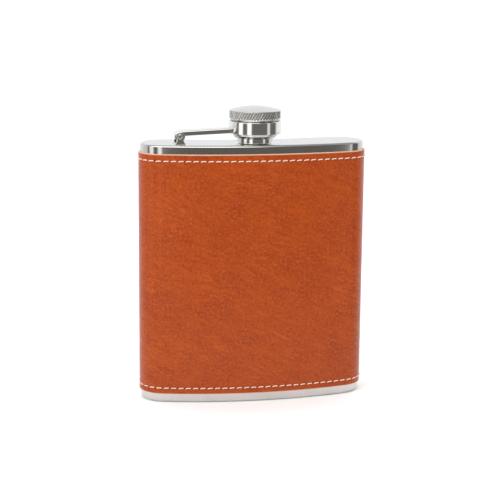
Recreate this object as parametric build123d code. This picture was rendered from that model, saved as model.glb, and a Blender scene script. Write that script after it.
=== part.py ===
from build123d import *
import math
import os

os.makedirs("parts", exist_ok=True)

# Hip flask, in millimetres and degrees. +Z is up, the convex front faces -Y and the hinge is on the -X side.
# The origin is the centre of the bounding box's bottom face.

# Steel body: a stadium section bent round an axis behind the flask
BODY_WIDTH = 95.0
BODY_THICKNESS = 21.0
BODY_HEIGHT = 109.4
BEND_RADIUS = 156.0  # of the section's middle line
WALL = 0.6

# End plates
TOP_PLATE_THICKNESS = 1.2
TOP_EDGE_RADIUS = 1.0
BOTTOM_PLATE_THICKNESS = 1.6
BOTTOM_EDGE_RADIUS = 1.3
LIP_DEPTH = 1.5  # each plate has a lip that sits inside the wall
LIP_THICKNESS = 0.6

# Leather wrap and its thread
LEATHER_BOTTOM = 3.8
LEATHER_TOP = 105.8
LEATHER_THICKNESS = 0.8
SEAM_GAP = 0.4  # between the two leather edges at the back
THREAD_HEIGHT = 0.5
THREAD_PROUD = 0.25
TOP_ROW_Z = 103.0
BOTTOM_ROW_Z = 6.4
BACK_SEAM_WIDTH = 5.0
BACK_SEAM_END = 5.0  # from the seam's ends to the leather's edges

# Pouring neck
NECK_RADIUS = 7.55
NECK_BORE_RADIUS = 6.4
NECK_TOP = 118.4
NECK_LIP_RADIUS = 0.5
NECK_FLANGE_RADIUS = 9.0
NECK_FLANGE_THICKNESS = 0.8

# Cap: every part of it is round about the neck's axis
CAP_BORE_RADIUS = 8.15  # clears the neck while the cap swings away
INSERT_RADIUS = 8.65
SKIRT_RADIUS = 9.2
SKIRT_BOTTOM = 113.3
HEAD_BOTTOM = 118.9
HEAD_RADIUS = 10.8
UNDERSIDE_RADIUS = 10.3
KNURL_BOTTOM = 119.7
KNURL_TOP = 123.1
DOME_TOP = 124.75
DOME_EDGE_RADIUS = 0.35
CEILING_Z = 120.0
GASKET_BOTTOM = 118.6
GASKET_CLEARANCE = 0.03
RETAINER_BOTTOM = 111.6
RETAINER_TOP_RADIUS = 9.6
RETAINER_BOTTOM_RADIUS = 8.45

# Collar ring, in which the skirt turns
COLLAR_BOTTOM = 113.45
COLLAR_TOP = 118.7
COLLAR_RADIUS = 11.1
COLLAR_EDGE_RADIUS = 0.25
SKIRT_CLEARANCE = 0.05

# Hinge and strap
PIN_X = -31.9
PIN_Z = 112.7
PIN_RADIUS = 0.8
PIN_CLEARANCE = 0.05
PIN_HEAD_RADIUS = 1.2
PIN_HEAD_HEIGHT = 0.4
PIN_DIMPLE_RADIUS = 0.5
PIN_DIMPLE_DEPTH = 0.5
KNUCKLE_RADIUS = 2.15
STRAP_WIDTH = 6.5
STRAP_THICKNESS = 2.1
STRAP_TOP_EDGE_RADIUS = 0.6
STRAP_SLOPE = 2.5
EYE_RADIUS = 1.75
EAR_GAP = 0.15
EAR_THICKNESS = 1.0
LUG_FOOT_LENGTH = 4.2
LUG_FOOT_HEIGHT = 0.6
LUG_WAIST_WIDTH = 2.6
LUG_WAIST_Z = 111.1

LEVEL_TOLERANCE = 0.001

# Worked out from the above
HALF_THICKNESS = BODY_THICKNESS / 2
HALF_ANGLE = math.asin((BODY_WIDTH / 2 - HALF_THICKNESS) / BEND_RADIUS)
NECK_Y = -BEND_RADIUS * (1 - math.cos(HALF_ANGLE)) / 2  # puts the bounding box's middle at Y = 0
WALL_BOTTOM = BOTTOM_PLATE_THICKNESS
WALL_TOP = BODY_HEIGHT - TOP_PLATE_THICKNESS
COLLAR_BORE_RADIUS = SKIRT_RADIUS + SKIRT_CLEARANCE
EAR_INNER_Y = STRAP_WIDTH / 2 + EAR_GAP
EAR_OUTER_Y = EAR_INNER_Y + EAR_THICKNESS


def section_point(radius, angle):
    """A point on a circle about the bend's axis, at an angle from the middle of the front."""
    x = radius * math.sin(angle)
    y = NECK_Y + BEND_RADIUS - radius * math.cos(angle)
    return (x, y)


def end_tip(side, half):
    """The outermost point of a round end of the section."""
    middle_x, middle_y = section_point(BEND_RADIUS, side * HALF_ANGLE)
    return (middle_x + side * half * math.cos(HALF_ANGLE), middle_y + half * math.sin(HALF_ANGLE))


def kidney(offset, bottom, top):
    """A solid on the body's section, grown outwards by offset, from one height to another."""
    half = HALF_THICKNESS + offset
    front_radius = BEND_RADIUS + half
    back_radius = BEND_RADIUS - half
    front_left = section_point(front_radius, -HALF_ANGLE)
    front_right = section_point(front_radius, HALF_ANGLE)
    back_left = section_point(back_radius, -HALF_ANGLE)
    back_right = section_point(back_radius, HALF_ANGLE)
    front = ThreePointArc(front_left, section_point(front_radius, 0), front_right)
    right = ThreePointArc(front_right, end_tip(1, half), back_right)
    back = ThreePointArc(back_right, section_point(back_radius, 0), back_left)
    left = ThreePointArc(back_left, end_tip(-1, half), front_left)
    outline = make_face(Wire([front, right, back, left]))
    return extrude(Pos(0, 0, bottom) * outline, amount=top - bottom)


def kidney_ring(inner, outer, bottom, top):
    """A wall between two offsets of the body's section."""
    return kidney(outer, bottom, top) - kidney(inner, bottom, top)


def tube(inner, outer, bottom, top):
    """A tube about the neck's axis."""
    middle = Pos(0, NECK_Y, (bottom + top) / 2)
    wall = Cylinder(outer, top - bottom)
    if inner:
        wall = wall - Cylinder(inner, top - bottom)
    return middle * wall


def turned(*points):
    """A solid turned about the neck's axis, from a closed outline of radius and height."""
    outline = make_face(Polyline(*[(r, 0, z) for r, z in points], close=True))
    return Pos(0, NECK_Y, 0) * revolve(outline, axis=Axis.Z)


def across(outline, half_width):
    """A solid from an outline of X and Z about the pin, as wide both ways from the strap's middle."""
    plane = Plane(origin=(PIN_X, NECK_Y, PIN_Z), x_dir=(1, 0, 0), z_dir=(0, -1, 0))
    return extrude(plane * outline, amount=half_width, both=True)


def edges_at(solid, height):
    """The edges that lie in one level plane."""
    return solid.edges().filter_by_position(Axis.Z, height - LEVEL_TOLERANCE, height + LEVEL_TOLERANCE)


# Flask body

def make_body_shell():
    return kidney_ring(-WALL, 0, WALL_BOTTOM, WALL_TOP)


def make_top_plate():
    plate = kidney(0, WALL_TOP, BODY_HEIGHT)
    plate = fillet(edges_at(plate, BODY_HEIGHT), TOP_EDGE_RADIUS)
    lip = kidney_ring(-WALL - LIP_THICKNESS, -WALL, WALL_TOP - LIP_DEPTH, WALL_TOP)
    return plate + lip - tube(0, NECK_RADIUS, WALL_TOP, BODY_HEIGHT)


def make_bottom_plate():
    plate = kidney(0, 0, WALL_BOTTOM)
    plate = fillet(edges_at(plate, 0), BOTTOM_EDGE_RADIUS)
    lip = kidney_ring(-WALL - LIP_THICKNESS, -WALL, WALL_BOTTOM, WALL_BOTTOM + LIP_DEPTH)
    return plate + lip


def make_neck_spout():
    flange_bottom = WALL_TOP - NECK_FLANGE_THICKNESS
    neck = tube(NECK_BORE_RADIUS, NECK_RADIUS, flange_bottom, NECK_TOP)
    neck = fillet(edges_at(neck, NECK_TOP), NECK_LIP_RADIUS)
    return neck + tube(NECK_BORE_RADIUS, NECK_FLANGE_RADIUS, flange_bottom, WALL_TOP)


def make_hinge_lug():
    foot_z = BODY_HEIGHT - PIN_Z
    waist_z = LUG_WAIST_Z - PIN_Z
    foot_half = LUG_FOOT_LENGTH / 2
    waist_half = LUG_WAIST_WIDTH / 2
    stem = make_face(Polyline(
        (-foot_half, foot_z), (foot_half, foot_z), (waist_half, waist_z),
        (EYE_RADIUS, 0), (-EYE_RADIUS, 0), (-waist_half, waist_z), close=True))
    ears = across(stem + Circle(EYE_RADIUS), EAR_OUTER_Y)
    gap_top = KNUCKLE_RADIUS + EAR_GAP
    gap_bottom = foot_z + LUG_FOOT_HEIGHT
    gap = Pos(0, (gap_top + gap_bottom) / 2) * Rectangle(2 * LUG_FOOT_LENGTH, gap_top - gap_bottom)
    return ears - across(gap, EAR_INNER_Y) - across(Circle(PIN_RADIUS), EAR_OUTER_Y)


def make_hinge_pin():
    head_y = EAR_OUTER_Y + PIN_HEAD_HEIGHT
    pin = across(Circle(PIN_HEAD_RADIUS), head_y)
    groove = across(Circle(PIN_HEAD_RADIUS) - Circle(PIN_RADIUS), EAR_OUTER_Y)
    dimple = Circle(PIN_DIMPLE_RADIUS)
    ends = across(dimple, head_y) - across(dimple, head_y - PIN_DIMPLE_DEPTH)
    return pin - groove - ends


def make_leather_wrap():
    wrap = kidney_ring(0, LEATHER_THICKNESS, LEATHER_BOTTOM, LEATHER_TOP)
    back_y = NECK_Y + HALF_THICKNESS
    height = LEATHER_TOP - LEATHER_BOTTOM
    slit = Pos(0, back_y, (LEATHER_BOTTOM + LEATHER_TOP) / 2) * Box(SEAM_GAP, HALF_THICKNESS, height)
    return wrap - slit


def make_stitch_row(middle):
    bottom = middle - THREAD_HEIGHT / 2
    return kidney_ring(LEATHER_THICKNESS, LEATHER_THICKNESS + THREAD_PROUD, bottom, bottom + THREAD_HEIGHT)


def make_back_seam_stitching():
    bottom = LEATHER_BOTTOM + BACK_SEAM_END
    top = LEATHER_TOP - BACK_SEAM_END
    ring = kidney_ring(LEATHER_THICKNESS, LEATHER_THICKNESS + THREAD_PROUD, bottom, top)
    back_y = NECK_Y + HALF_THICKNESS
    return ring & Pos(0, back_y, (bottom + top) / 2) * Box(BACK_SEAM_WIDTH, HALF_THICKNESS, top - bottom)


# Captive cap

def make_cap_arm():
    """A bar that leaves the top of the knuckle round the pin and ends on the collar's outside."""
    strap_length = abs(PIN_X)
    strap_middle = Pos(strap_length / 2, KNUCKLE_RADIUS - STRAP_THICKNESS / 2)
    strap = Rot(0, 0, STRAP_SLOPE) * strap_middle * Rectangle(strap_length, STRAP_THICKNESS)
    outline = strap + Circle(KNUCKLE_RADIUS) - Circle(PIN_RADIUS + PIN_CLEARANCE)
    arm = across(outline, STRAP_WIDTH / 2) - tube(0, COLLAR_RADIUS, COLLAR_BOTTOM, COLLAR_TOP)
    slope = math.radians(STRAP_SLOPE)
    along = Plane(
        origin=(PIN_X, NECK_Y, PIN_Z), x_dir=(0, 1, 0), z_dir=(math.cos(slope), 0, math.sin(slope)))
    section = Rectangle(STRAP_WIDTH, 2 * KNUCKLE_RADIUS)
    section = fillet(section.vertices().group_by(Axis.Y)[-1], STRAP_TOP_EDGE_RADIUS)
    return arm & extrude(along * section, strap_length, both=True)


def make_collar_ring():
    collar = tube(COLLAR_BORE_RADIUS, COLLAR_RADIUS, COLLAR_BOTTOM, COLLAR_TOP)
    rims = edges_at(collar, COLLAR_TOP) + edges_at(collar, COLLAR_BOTTOM)
    return fillet(rims, COLLAR_EDGE_RADIUS)


def make_cap_head():
    """A dome on the knurled rim, with the skirt below it that turns in the collar."""
    sphere_height = DOME_TOP - KNURL_TOP
    dome_radius = (HEAD_RADIUS**2 + sphere_height**2) / (2 * sphere_height)
    rim = turned(
        (INSERT_RADIUS, SKIRT_BOTTOM), (SKIRT_RADIUS, SKIRT_BOTTOM), (SKIRT_RADIUS, HEAD_BOTTOM),
        (UNDERSIDE_RADIUS, HEAD_BOTTOM), (HEAD_RADIUS, KNURL_BOTTOM), (HEAD_RADIUS, DOME_TOP),
        (0, DOME_TOP), (0, CEILING_Z), (INSERT_RADIUS, CEILING_Z))
    head = rim & Pos(0, NECK_Y, DOME_TOP - dome_radius) * Sphere(dome_radius)
    return fillet(edges_at(head, KNURL_TOP), DOME_EDGE_RADIUS)


def make_cap_thread_insert():
    return tube(CAP_BORE_RADIUS, INSERT_RADIUS, SKIRT_BOTTOM, CEILING_Z)


def make_retainer_ring():
    return turned(
        (CAP_BORE_RADIUS, RETAINER_BOTTOM), (RETAINER_BOTTOM_RADIUS, RETAINER_BOTTOM),
        (RETAINER_TOP_RADIUS, SKIRT_BOTTOM), (CAP_BORE_RADIUS, SKIRT_BOTTOM))


def make_cap_gasket():
    return tube(0, CAP_BORE_RADIUS - GASKET_CLEARANCE, GASKET_BOTTOM, CEILING_Z)


PARTS = {
    "body_shell": make_body_shell(),
    "top_plate": make_top_plate(),
    "bottom_plate": make_bottom_plate(),
    "neck_spout": make_neck_spout(),
    "hinge_lug": make_hinge_lug(),
    "hinge_pin": make_hinge_pin(),
    "leather_wrap": make_leather_wrap(),
    "top_stitching": make_stitch_row(TOP_ROW_Z),
    "bottom_stitching": make_stitch_row(BOTTOM_ROW_Z),
    "back_seam_stitching": make_back_seam_stitching(),
    "cap_arm": make_cap_arm(),
    "collar_ring": make_collar_ring(),
    "cap_head": make_cap_head(),
    "cap_thread_insert": make_cap_thread_insert(),
    "retainer_ring": make_retainer_ring(),
    "cap_gasket": make_cap_gasket(),
}

for name, shape in PARTS.items():
    export_step(shape, f"parts/{name}.step")
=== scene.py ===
"""Dresses the framed hip flask: polished steel, stitched leather, a knurled captive cap and a small studio.

Every length is in metres, in the frame's own axes: +Z up, the convex front towards -Y, the hinge towards -X.
"""
import math

import bmesh
import bpy
import numpy as np
from bpy.props import FloatProperty, FloatVectorProperty, IntProperty, PointerProperty
from bpy.types import Operator, Panel, PropertyGroup
from mathutils import Matrix, Vector


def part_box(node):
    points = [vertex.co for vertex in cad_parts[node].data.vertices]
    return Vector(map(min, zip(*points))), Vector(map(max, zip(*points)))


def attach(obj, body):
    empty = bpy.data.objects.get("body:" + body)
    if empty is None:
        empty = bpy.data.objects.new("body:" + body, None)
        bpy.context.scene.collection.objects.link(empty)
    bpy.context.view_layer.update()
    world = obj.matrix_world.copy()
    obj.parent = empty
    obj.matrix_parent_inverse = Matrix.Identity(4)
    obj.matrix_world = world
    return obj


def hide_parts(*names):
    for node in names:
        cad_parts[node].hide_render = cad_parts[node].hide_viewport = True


bl_info = {
    "name": "Hip flask",
    "version": (1, 0, 0),
    "blender": (4, 5, 0),
    "location": "3D View > Sidebar > Hip flask",
    "description": "Polished steel, stitched leather and a knurled captive cap round the framed hip flask",
    "category": "Object",
}

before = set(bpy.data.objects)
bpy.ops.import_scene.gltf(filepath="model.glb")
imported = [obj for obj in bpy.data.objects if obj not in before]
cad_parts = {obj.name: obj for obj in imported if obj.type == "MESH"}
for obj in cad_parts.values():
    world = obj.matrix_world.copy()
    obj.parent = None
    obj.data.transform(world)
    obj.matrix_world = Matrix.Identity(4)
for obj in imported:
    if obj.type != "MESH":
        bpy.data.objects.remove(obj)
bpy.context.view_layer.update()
MM = 0.001
BODY_COLUMNS = 720
MERGE_DISTANCE = 0.0005 * MM
SHARP_ANGLE = math.radians(38)

# ---------------------------------------------------------------- places, from the frame


def low(node, axis):
    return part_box(node)[0]["xyz".index(axis)]


def high(node, axis):
    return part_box(node)[1]["xyz".index(axis)]


def middle(node, axis):
    return (low(node, axis) + high(node, axis)) / 2


def half_span(node, axis):
    return (high(node, axis) - low(node, axis)) / 2


# The body's section is a stadium bent round an upright axis behind the flask.
NECK_Y = middle("collar_ring", "y")
HALF_DEPTH = NECK_Y - low("body_shell", "y")
END_SIDE = high("body_shell", "x") - HALF_DEPTH
END_BACK = high("body_shell", "y") - NECK_Y - HALF_DEPTH
BEND_RADIUS = (END_SIDE**2 + END_BACK**2) / (2 * END_BACK)
BEND_ANGLE = 2 * math.atan2(END_BACK, END_SIDE)
BEND_Y = NECK_Y + BEND_RADIUS
BACK_RADIUS = BEND_RADIUS - HALF_DEPTH
FRONT_RADIUS = BEND_RADIUS + HALF_DEPTH
PERIMETER = 2 * BEND_ANGLE * BACK_RADIUS + 2 * BEND_ANGLE * FRONT_RADIUS + 2 * np.pi * HALF_DEPTH

WALL = 0.6 * MM
PLATE_UNDER = high("body_shell", "z")
BODY_TOP = high("top_plate", "z")
FLOOR_TOP = low("body_shell", "z")
TOP_EDGE = 1.0 * MM
BOTTOM_EDGE = 1.3 * MM

LEATHER_LOW = low("leather_wrap", "z")
LEATHER_HIGH = high("leather_wrap", "z")
LEATHER_THICK = high("leather_wrap", "x") - high("body_shell", "x")
SEAM_GAP = 0.4 * MM
THREAD_PROUD = high("top_stitching", "x") - high("leather_wrap", "x")
TOP_ROW = middle("top_stitching", "z")
BOTTOM_ROW = middle("bottom_stitching", "z")
SEAM_LOW = low("back_seam_stitching", "z")
SEAM_HIGH = high("back_seam_stitching", "z")

NECK_RADIUS = 7.55 * MM
NECK_BORE = 6.4 * MM
NECK_TOP = high("neck_spout", "z")
NECK_UNDER = low("neck_spout", "z")

CAP_BORE = high("cap_gasket", "x") + 0.03 * MM
BUSH_RADIUS = high("cap_thread_insert", "x")
SKIRT_LOW = low("cap_head", "z")
SKIRT_RADIUS = 9.2 * MM
HEAD_UNDER = 118.9 * MM
HEAD_RADIUS = high("cap_head", "x")
UNDERSIDE_RADIUS = 10.3 * MM
KNURL_LOW = 119.7 * MM
KNURL_HIGH = 123.1 * MM
KNURL_SLANT = math.radians(30)
HEAD_TOP = high("cap_head", "z")
HEAD_CEILING = high("cap_gasket", "z")
GASKET_LOW = low("cap_gasket", "z")
RETAINER_LOW = low("retainer_ring", "z")
RETAINER_HIGH = high("retainer_ring", "z")
RETAINER_RADIUS = high("retainer_ring", "x")
RETAINER_FOOT_RADIUS = 8.45 * MM
COLLAR_LOW = low("collar_ring", "z")
COLLAR_HIGH = high("collar_ring", "z")
COLLAR_RADIUS = high("collar_ring", "x")
COLLAR_BORE = 9.25 * MM

PIN_X = middle("hinge_pin", "x")
PIN_Z = middle("hinge_pin", "z")
PIN_HEAD_RADIUS = half_span("hinge_pin", "x")
PIN_END = half_span("hinge_pin", "y")
EAR_OUTER = half_span("hinge_lug", "y")
EAR_THICK = 1.0 * MM
EAR_RADIUS = high("hinge_lug", "z") - PIN_Z
LUG_FOOT_HALF = half_span("hinge_lug", "x")
STRAP_HALF_WIDTH = half_span("cap_arm", "y")
KNUCKLE_RADIUS = PIN_X - low("cap_arm", "x")
STRAP_THICK = 2.1 * MM
STRAP_SLOPE = math.radians(2.5)


# ---------------------------------------------------------------- settings

def length(name, description, millimetres):
    return FloatProperty(name=name, description=description, default=millimetres * MM, unit="LENGTH")


def colour(name, description, rgb):
    return FloatVectorProperty(
        name=name, description=description, default=rgb, subtype="COLOR", min=0, max=1)


def turn_of(name, description, degrees):
    return FloatProperty(
        name=name, description=description, default=math.radians(degrees), unit="ROTATION")


class LeatherSettings(PropertyGroup):
    light: colour("Light tan", "Leather where the dye is thin", (0.41, 0.066, 0.0045))
    dark: colour("Dark tan", "Leather where the dye has gathered", (0.25, 0.029, 0.0015))
    cut: colour("Cut edge", "Undyed fibre at the leather's cut edges", (0.74, 0.46, 0.33))
    thread: colour("Thread", "Waxed sewing thread", (0.95, 0.68, 0.52))
    stitches: IntProperty(
        name="Stitches", description="Stitches in each row round the body", default=70, min=8)
    stitch_length: length("Stitch length", "The part of a stitch that lies on the leather", 2.55)
    thread_radius: length("Thread radius", "Half the thickness of the thread", 0.22)
    stitch_rise: length("Stitch rise", "How far a stitch drops to the hole that it starts from", 0.32)
    groove: length("Groove depth", "How far a row of stitches pulls the leather in", 0.10)
    lace_pitch: length("Lacing pitch", "Height of one crossing of the back seam", 3.6)


class SteelSettings(PropertyGroup):
    polished: colour("Polished steel", "Mirror-finished stainless steel", (0.64, 0.63, 0.615))
    satin: colour("Satin steel", "Finely brushed stainless steel", (0.72, 0.71, 0.69))
    knurls: IntProperty(name="Knurls", description="Grooves of each slant round the cap", default=54, min=8)
    knurl_depth: length("Knurl depth", "Depth of the deeper family of grooves", 0.34)
    thread_pitch: length("Thread pitch", "Rise of the neck's thread in one turn", 2.0)
    thread_depth: length("Thread depth", "Height of the neck's thread", 0.5)


class StudioSettings(PropertyGroup):
    floor: colour("Floor", "Pale floor", (0.95, 0.95, 0.95))
    sky: FloatProperty(
        name="Sky", description="Brightness of the light from all round", default=1.10, min=0)
    key: FloatProperty(
        name="Key light", description="Power of the light at the upper left", default=0.7, unit="POWER")
    top: FloatProperty(
        name="Top light", description="Power of the light overhead", default=2.5, unit="POWER")
    azimuth: turn_of("Azimuth", "Camera's turn about the flask", -10.99)
    elevation: turn_of("Elevation", "Camera's height above the horizon", 11.73)
    roll: turn_of("Roll", "Camera's turn about its own line of sight", 0.557)
    distance: length("Distance", "Camera to the point that it looks at", 630.3)
    focal: FloatProperty(
        name="Focal length", description="Of the camera, in millimetres", default=107.15, min=1)


# ---------------------------------------------------------------- shapes as whole arrays

def kidney(distance, offset):
    """The body's outline. A point is a distance along the bare steel from the middle of the back, going
    by +X, and an offset outwards. The outline is five arcs: half the back, an end, the front, the other
    end, half the back. On each the angle about the arc's centre is its first angle plus or minus distance
    over radius."""
    radii = np.array([BACK_RADIUS, HALF_DEPTH, FRONT_RADIUS, HALF_DEPTH, BACK_RADIUS])
    sweeps = np.array([BEND_ANGLE, np.pi, 2 * BEND_ANGLE, np.pi, BEND_ANGLE])
    ends = np.cumsum(radii * sweeps)
    starts = ends - radii * sweeps
    centre_x = np.array([0, END_SIDE, 0, -END_SIDE, 0])
    centre_y = np.array([BEND_Y, NECK_Y + END_BACK, BEND_Y, NECK_Y + END_BACK, BEND_Y])
    quarter = np.pi / 2
    first = np.array([
        -quarter, quarter + BEND_ANGLE, BEND_ANGLE - quarter, -quarter - BEND_ANGLE, -quarter - BEND_ANGLE])
    turn = np.array([1, -1, -1, -1, 1])
    outward = np.array([-1, 1, 1, 1, -1])
    along = np.mod(distance, ends[-1])
    part = np.minimum(np.searchsorted(ends, along, side="right"), 4)
    angle = first[part] + turn[part] * (along - starts[part]) / radii[part]
    reach = radii[part] + outward[part] * offset
    return centre_x[part] + reach * np.cos(angle), centre_y[part] + reach * np.sin(angle)


def stack(x, y, z):
    """Coordinates of any shapes that fit together, as one array of points."""
    return np.stack(np.broadcast_arrays(x, y, z), axis=-1)


def round_body(profile, columns=BODY_COLUMNS):
    """A closed outline of offset and height, rows by 2, carried once round the body."""
    distance = np.linspace(0, PERIMETER, columns + 1)
    x, y = kidney(distance[None, :], profile[:, 0, None])
    x[:, -1] = x[:, 0]
    y[:, -1] = y[:, 0]
    points = stack(x, y, profile[:, 1, None])
    return points, stack_uv(distance[None, :], arc_length(profile)[:, None])


def turned(radius, height, angle):
    """A surface of revolution about the neck's axis. Radius and height may change with the angle too."""
    return stack(radius * np.cos(angle), NECK_Y + radius * np.sin(angle), height)


def lathe(profile, columns):
    """A profile of radius and height, rows by 2, turned about the neck's axis."""
    angle = np.linspace(0, 2 * np.pi, columns + 1)
    points = turned(profile[:, 0, None], profile[:, 1, None], angle[None, :])
    points[:, -1] = points[:, 0]
    return points, stack_uv(angle[None, :] * COLLAR_RADIUS, arc_length(profile)[:, None])


def stack_uv(u, v):
    """Two surface coordinates of any shapes that fit together, as one array."""
    return np.stack(np.broadcast_arrays(u, v), axis=-1)


def arc_length(profile):
    """Distance along a line of points, starting at 0."""
    return np.concatenate([[0], np.cumsum(np.linalg.norm(np.diff(profile, axis=0), axis=1))])


def rounded(corners, radii, closed=True, steps=6, guard=0.02 * MM):
    """A line through corners, in which each corner is an arc of its own radius. A unit vector swings evenly
    from one edge's normal to the next one's, times the radius, about a centre on the corner's bisector. One
    guard point on each side of an arc keeps the flat faces flat in smooth shading. The ends of an open line
    stay as they are."""
    corners = np.array(corners, float)
    radii = np.array(radii, float)[:, None]
    before = np.roll(corners, 1, axis=0) - corners
    after = np.roll(corners, -1, axis=0) - corners
    if not closed:
        before[0] = -after[0]
        after[-1] = -before[-1]
    before /= np.linalg.norm(before, axis=1, keepdims=True)
    after /= np.linalg.norm(after, axis=1, keepdims=True)
    half = np.arccos(np.clip((before * after).sum(1, keepdims=True), -1, 1)) / 2
    bisector = before + after
    width = np.linalg.norm(bisector, axis=1, keepdims=True)
    bisector = bisector / np.maximum(width, 1e-9)
    centres = corners + bisector * radii / np.maximum(np.sin(half), 1e-9)
    tangent = radii / np.maximum(np.tan(half), 1e-9)
    start = corners + before * tangent
    end = corners + after * tangent
    share = np.linspace(0, 1, steps + 1)[None, :, None]
    swing = np.pi - 2 * half[:, :, None]
    sine = np.maximum(np.sin(swing), 1e-9)
    from_start = np.sin((1 - share) * swing) * (start - centres)[:, None]
    to_end = np.sin(share * swing) * (end - centres)[:, None]
    arc = centres[:, None] + (from_start + to_end) / sine
    line = np.concatenate([(start + before * guard)[:, None], arc, (end + after * guard)[:, None]], axis=1)
    sharp = (radii[:, 0] == 0) | (width[:, 0] < 1e-6)
    line[sharp] = corners[sharp][:, None]
    line = line.reshape(-1, 2)
    return np.concatenate([line, line[:1]]) if closed else line


def coin(outline, half, edge, place, steps=4):
    """A flat plate: a closed outline with its outward normals, given thickness both ways from its middle
    plane and rounded edges. Each ring is the outline drawn in by edge times one minus the sine of the
    fillet's angle. The two faces are fans about the outline's middle. place turns outline and depth into
    points."""
    points, normals = outline
    angle = np.linspace(0, np.pi / 2, steps + 1)
    inset = np.concatenate([[1.3], 1 - np.sin(angle), (1 - np.sin(angle))[::-1], [1.3]]) * edge
    rim = half - edge * (1 - np.cos(angle))
    depth = np.concatenate([[-half], -rim, rim[::-1], [half]])
    rings = points[None] - inset[:, None, None] * normals[None]
    heart = np.broadcast_to(points[:-1].mean(0), points.shape)[None]
    rings = np.concatenate([heart, rings, heart])
    depth = np.concatenate([[-half], depth, [half]])
    return place(rings[..., 0], rings[..., 1], depth[:, None])


def outline_normals(line):
    """Outward normals of a closed line whose last point repeats its first, from the chord over each
    point."""
    ring = line[:-1]
    chord = np.roll(ring, -1, axis=0) - np.roll(ring, 1, axis=0)
    normal = np.stack([chord[:, 1], -chord[:, 0]], axis=1)
    normal /= np.maximum(np.linalg.norm(normal, axis=1, keepdims=True), 1e-12)
    x, y = ring.T
    area = (x * np.roll(y, -1) - np.roll(x, -1) * y).sum()
    normal *= np.sign(area)
    return np.concatenate([normal, normal[:1]])


def smooth_step(value, start, end):
    """0 at start, 1 at end, and three times the square less twice the cube of the share between."""
    share = np.clip((value - start) / (end - start), 0, 1)
    return share * share * (3 - 2 * share)


# ---------------------------------------------------------------- meshes

def build(name, grids, finish, body, node, marks=None):
    """One piece from grids of points and their UVs. A grid is rows by columns, or many such grids of one
    size. Marks are a value at each point for the finish: the leather's cut edges, or the painted shade in
    the cap's grooves and under its head. Edges that lie together are merged, faces are turned to point
    outwards, and the piece rides on its body."""
    vertices, faces, uvs, marked = [], [], [], []
    first = 0
    for number, (points, uv) in enumerate(grids):
        rows, columns = points.shape[-3:-1]
        points = points.reshape(-1, rows, columns, 3)
        uv = np.broadcast_to(uv, points.shape[:-1] + (2,))
        index = np.arange(points[..., 0].size).reshape(points.shape[:-1]) + first
        quads = [index[:, :-1, :-1], index[:, :-1, 1:], index[:, 1:, 1:], index[:, 1:, :-1]]
        faces.append(np.stack(quads, axis=-1).reshape(-1, 4))
        vertices.append(points.reshape(-1, 3))
        uvs.append(uv.reshape(-1, 2))
        if marks is not None:
            marked.append(np.broadcast_to(marks[number], points.shape[:-1]).reshape(-1))
        first += index.size
    vertices = np.concatenate(vertices)
    faces = np.concatenate(faces)
    uvs = np.concatenate(uvs)
    mesh = bpy.data.meshes.new(name)
    mesh.vertices.add(len(vertices))
    mesh.vertices.foreach_set("co", vertices.astype(np.float32).ravel())
    mesh.loops.add(faces.size)
    mesh.loops.foreach_set("vertex_index", faces.astype(np.int32).ravel())
    mesh.polygons.add(len(faces))
    mesh.polygons.foreach_set("loop_start", np.arange(0, faces.size, 4, dtype=np.int32))
    layer = mesh.uv_layers.new(name="Surface")
    layer.data.foreach_set("uv", uvs[faces.ravel()].astype(np.float32).ravel())
    if marks is not None:
        attribute = mesh.attributes.new("mark", "FLOAT", "POINT")
        attribute.data.foreach_set("value", np.concatenate(marked).astype(np.float32))
    mesh.update(calc_edges=True)
    tidy = bmesh.new()
    tidy.from_mesh(mesh)
    bmesh.ops.remove_doubles(tidy, verts=tidy.verts, dist=MERGE_DISTANCE)
    if tidy.calc_volume(signed=True) < 0:
        bmesh.ops.reverse_faces(tidy, faces=tidy.faces)
    tidy.to_mesh(mesh)
    tidy.free()
    mesh.shade_smooth()
    mesh.set_sharp_from_angle(angle=SHARP_ANGLE)
    piece = bpy.data.objects.new(name, mesh)
    bpy.context.scene.collection.objects.link(piece)
    mesh.materials.append(finish)
    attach(piece, body)
    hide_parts(node)
    return piece


# ---------------------------------------------------------------- finishes

class Value:
    """One shader value. Arithmetic on it adds Math nodes."""

    def __init__(self, finish, socket):
        self.finish = finish
        self.socket = socket

    def math(self, operation, *others):
        values = dict(enumerate((self, *others)))
        return self.finish.node("ShaderNodeMath", {"operation": operation}, values)

    def __add__(self, other):
        return self.math("ADD", other)

    def __sub__(self, other):
        return self.math("SUBTRACT", other)

    def __rsub__(self, other):
        return self.finish.node("ShaderNodeMath", {"operation": "SUBTRACT"}, {0: other, 1: self})

    def __mul__(self, other):
        return self.math("MULTIPLY", other)

    def __truediv__(self, other):
        return self.math("DIVIDE", other)

    def __pow__(self, other):
        return self.math("POWER", other)

    __radd__ = __add__
    __rmul__ = __mul__

    def clamped(self):
        """Held between 0 and 1."""
        return self.finish.node("ShaderNodeClamp", {}, {"Value": self})

    def step(self, start, end):
        """0 below start, 1 above end, smooth between. Start may be the larger."""
        values = {"Value": self, "From Min": start, "From Max": end}
        return self.finish.node("ShaderNodeMapRange", {"interpolation_type": "SMOOTHSTEP"}, values)


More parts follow.
